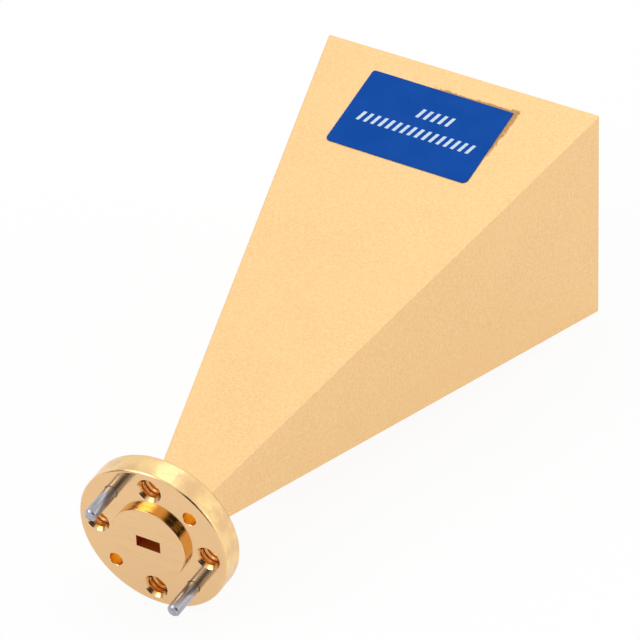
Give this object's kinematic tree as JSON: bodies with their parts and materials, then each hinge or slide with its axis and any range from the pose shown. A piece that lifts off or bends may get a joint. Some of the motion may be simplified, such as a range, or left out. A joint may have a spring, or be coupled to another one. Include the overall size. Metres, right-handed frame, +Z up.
{
  "type": "horn antenna",
  "caption": "Hollow four-sided metal flare that widens from a rectangular waveguide port in a round flange with a raised boss, tapped holes, dowel pins and a label.",
  "frame": {"origin": "middle of the waveguide port, on the mating face of the flange's boss", "axes": "+Y along the horn's axis from the port to the mouth, +X across the wide walls, +Z up through the wide wall that carries the label"},
  "size_m": [0.0366, 0.0794, 0.03],
  "materials": {
    "blasted_gold": "gold plate over a finely bead-blasted surface, matte",
    "turned_gold": "gold plate over turned and lapped faces, bright",
    "pin_steel": "hardened ground steel, bright",
    "blue_film": "printed blue film, semi-gloss"
  },
  "bodies": {
    "root": {"horn_flare": "blasted_gold", "flange": "turned_gold", "dowel_pin_upper": "pin_steel", "dowel_pin_lower": "pin_steel", "label": "blue_film"}
  },
  "joints": []
}
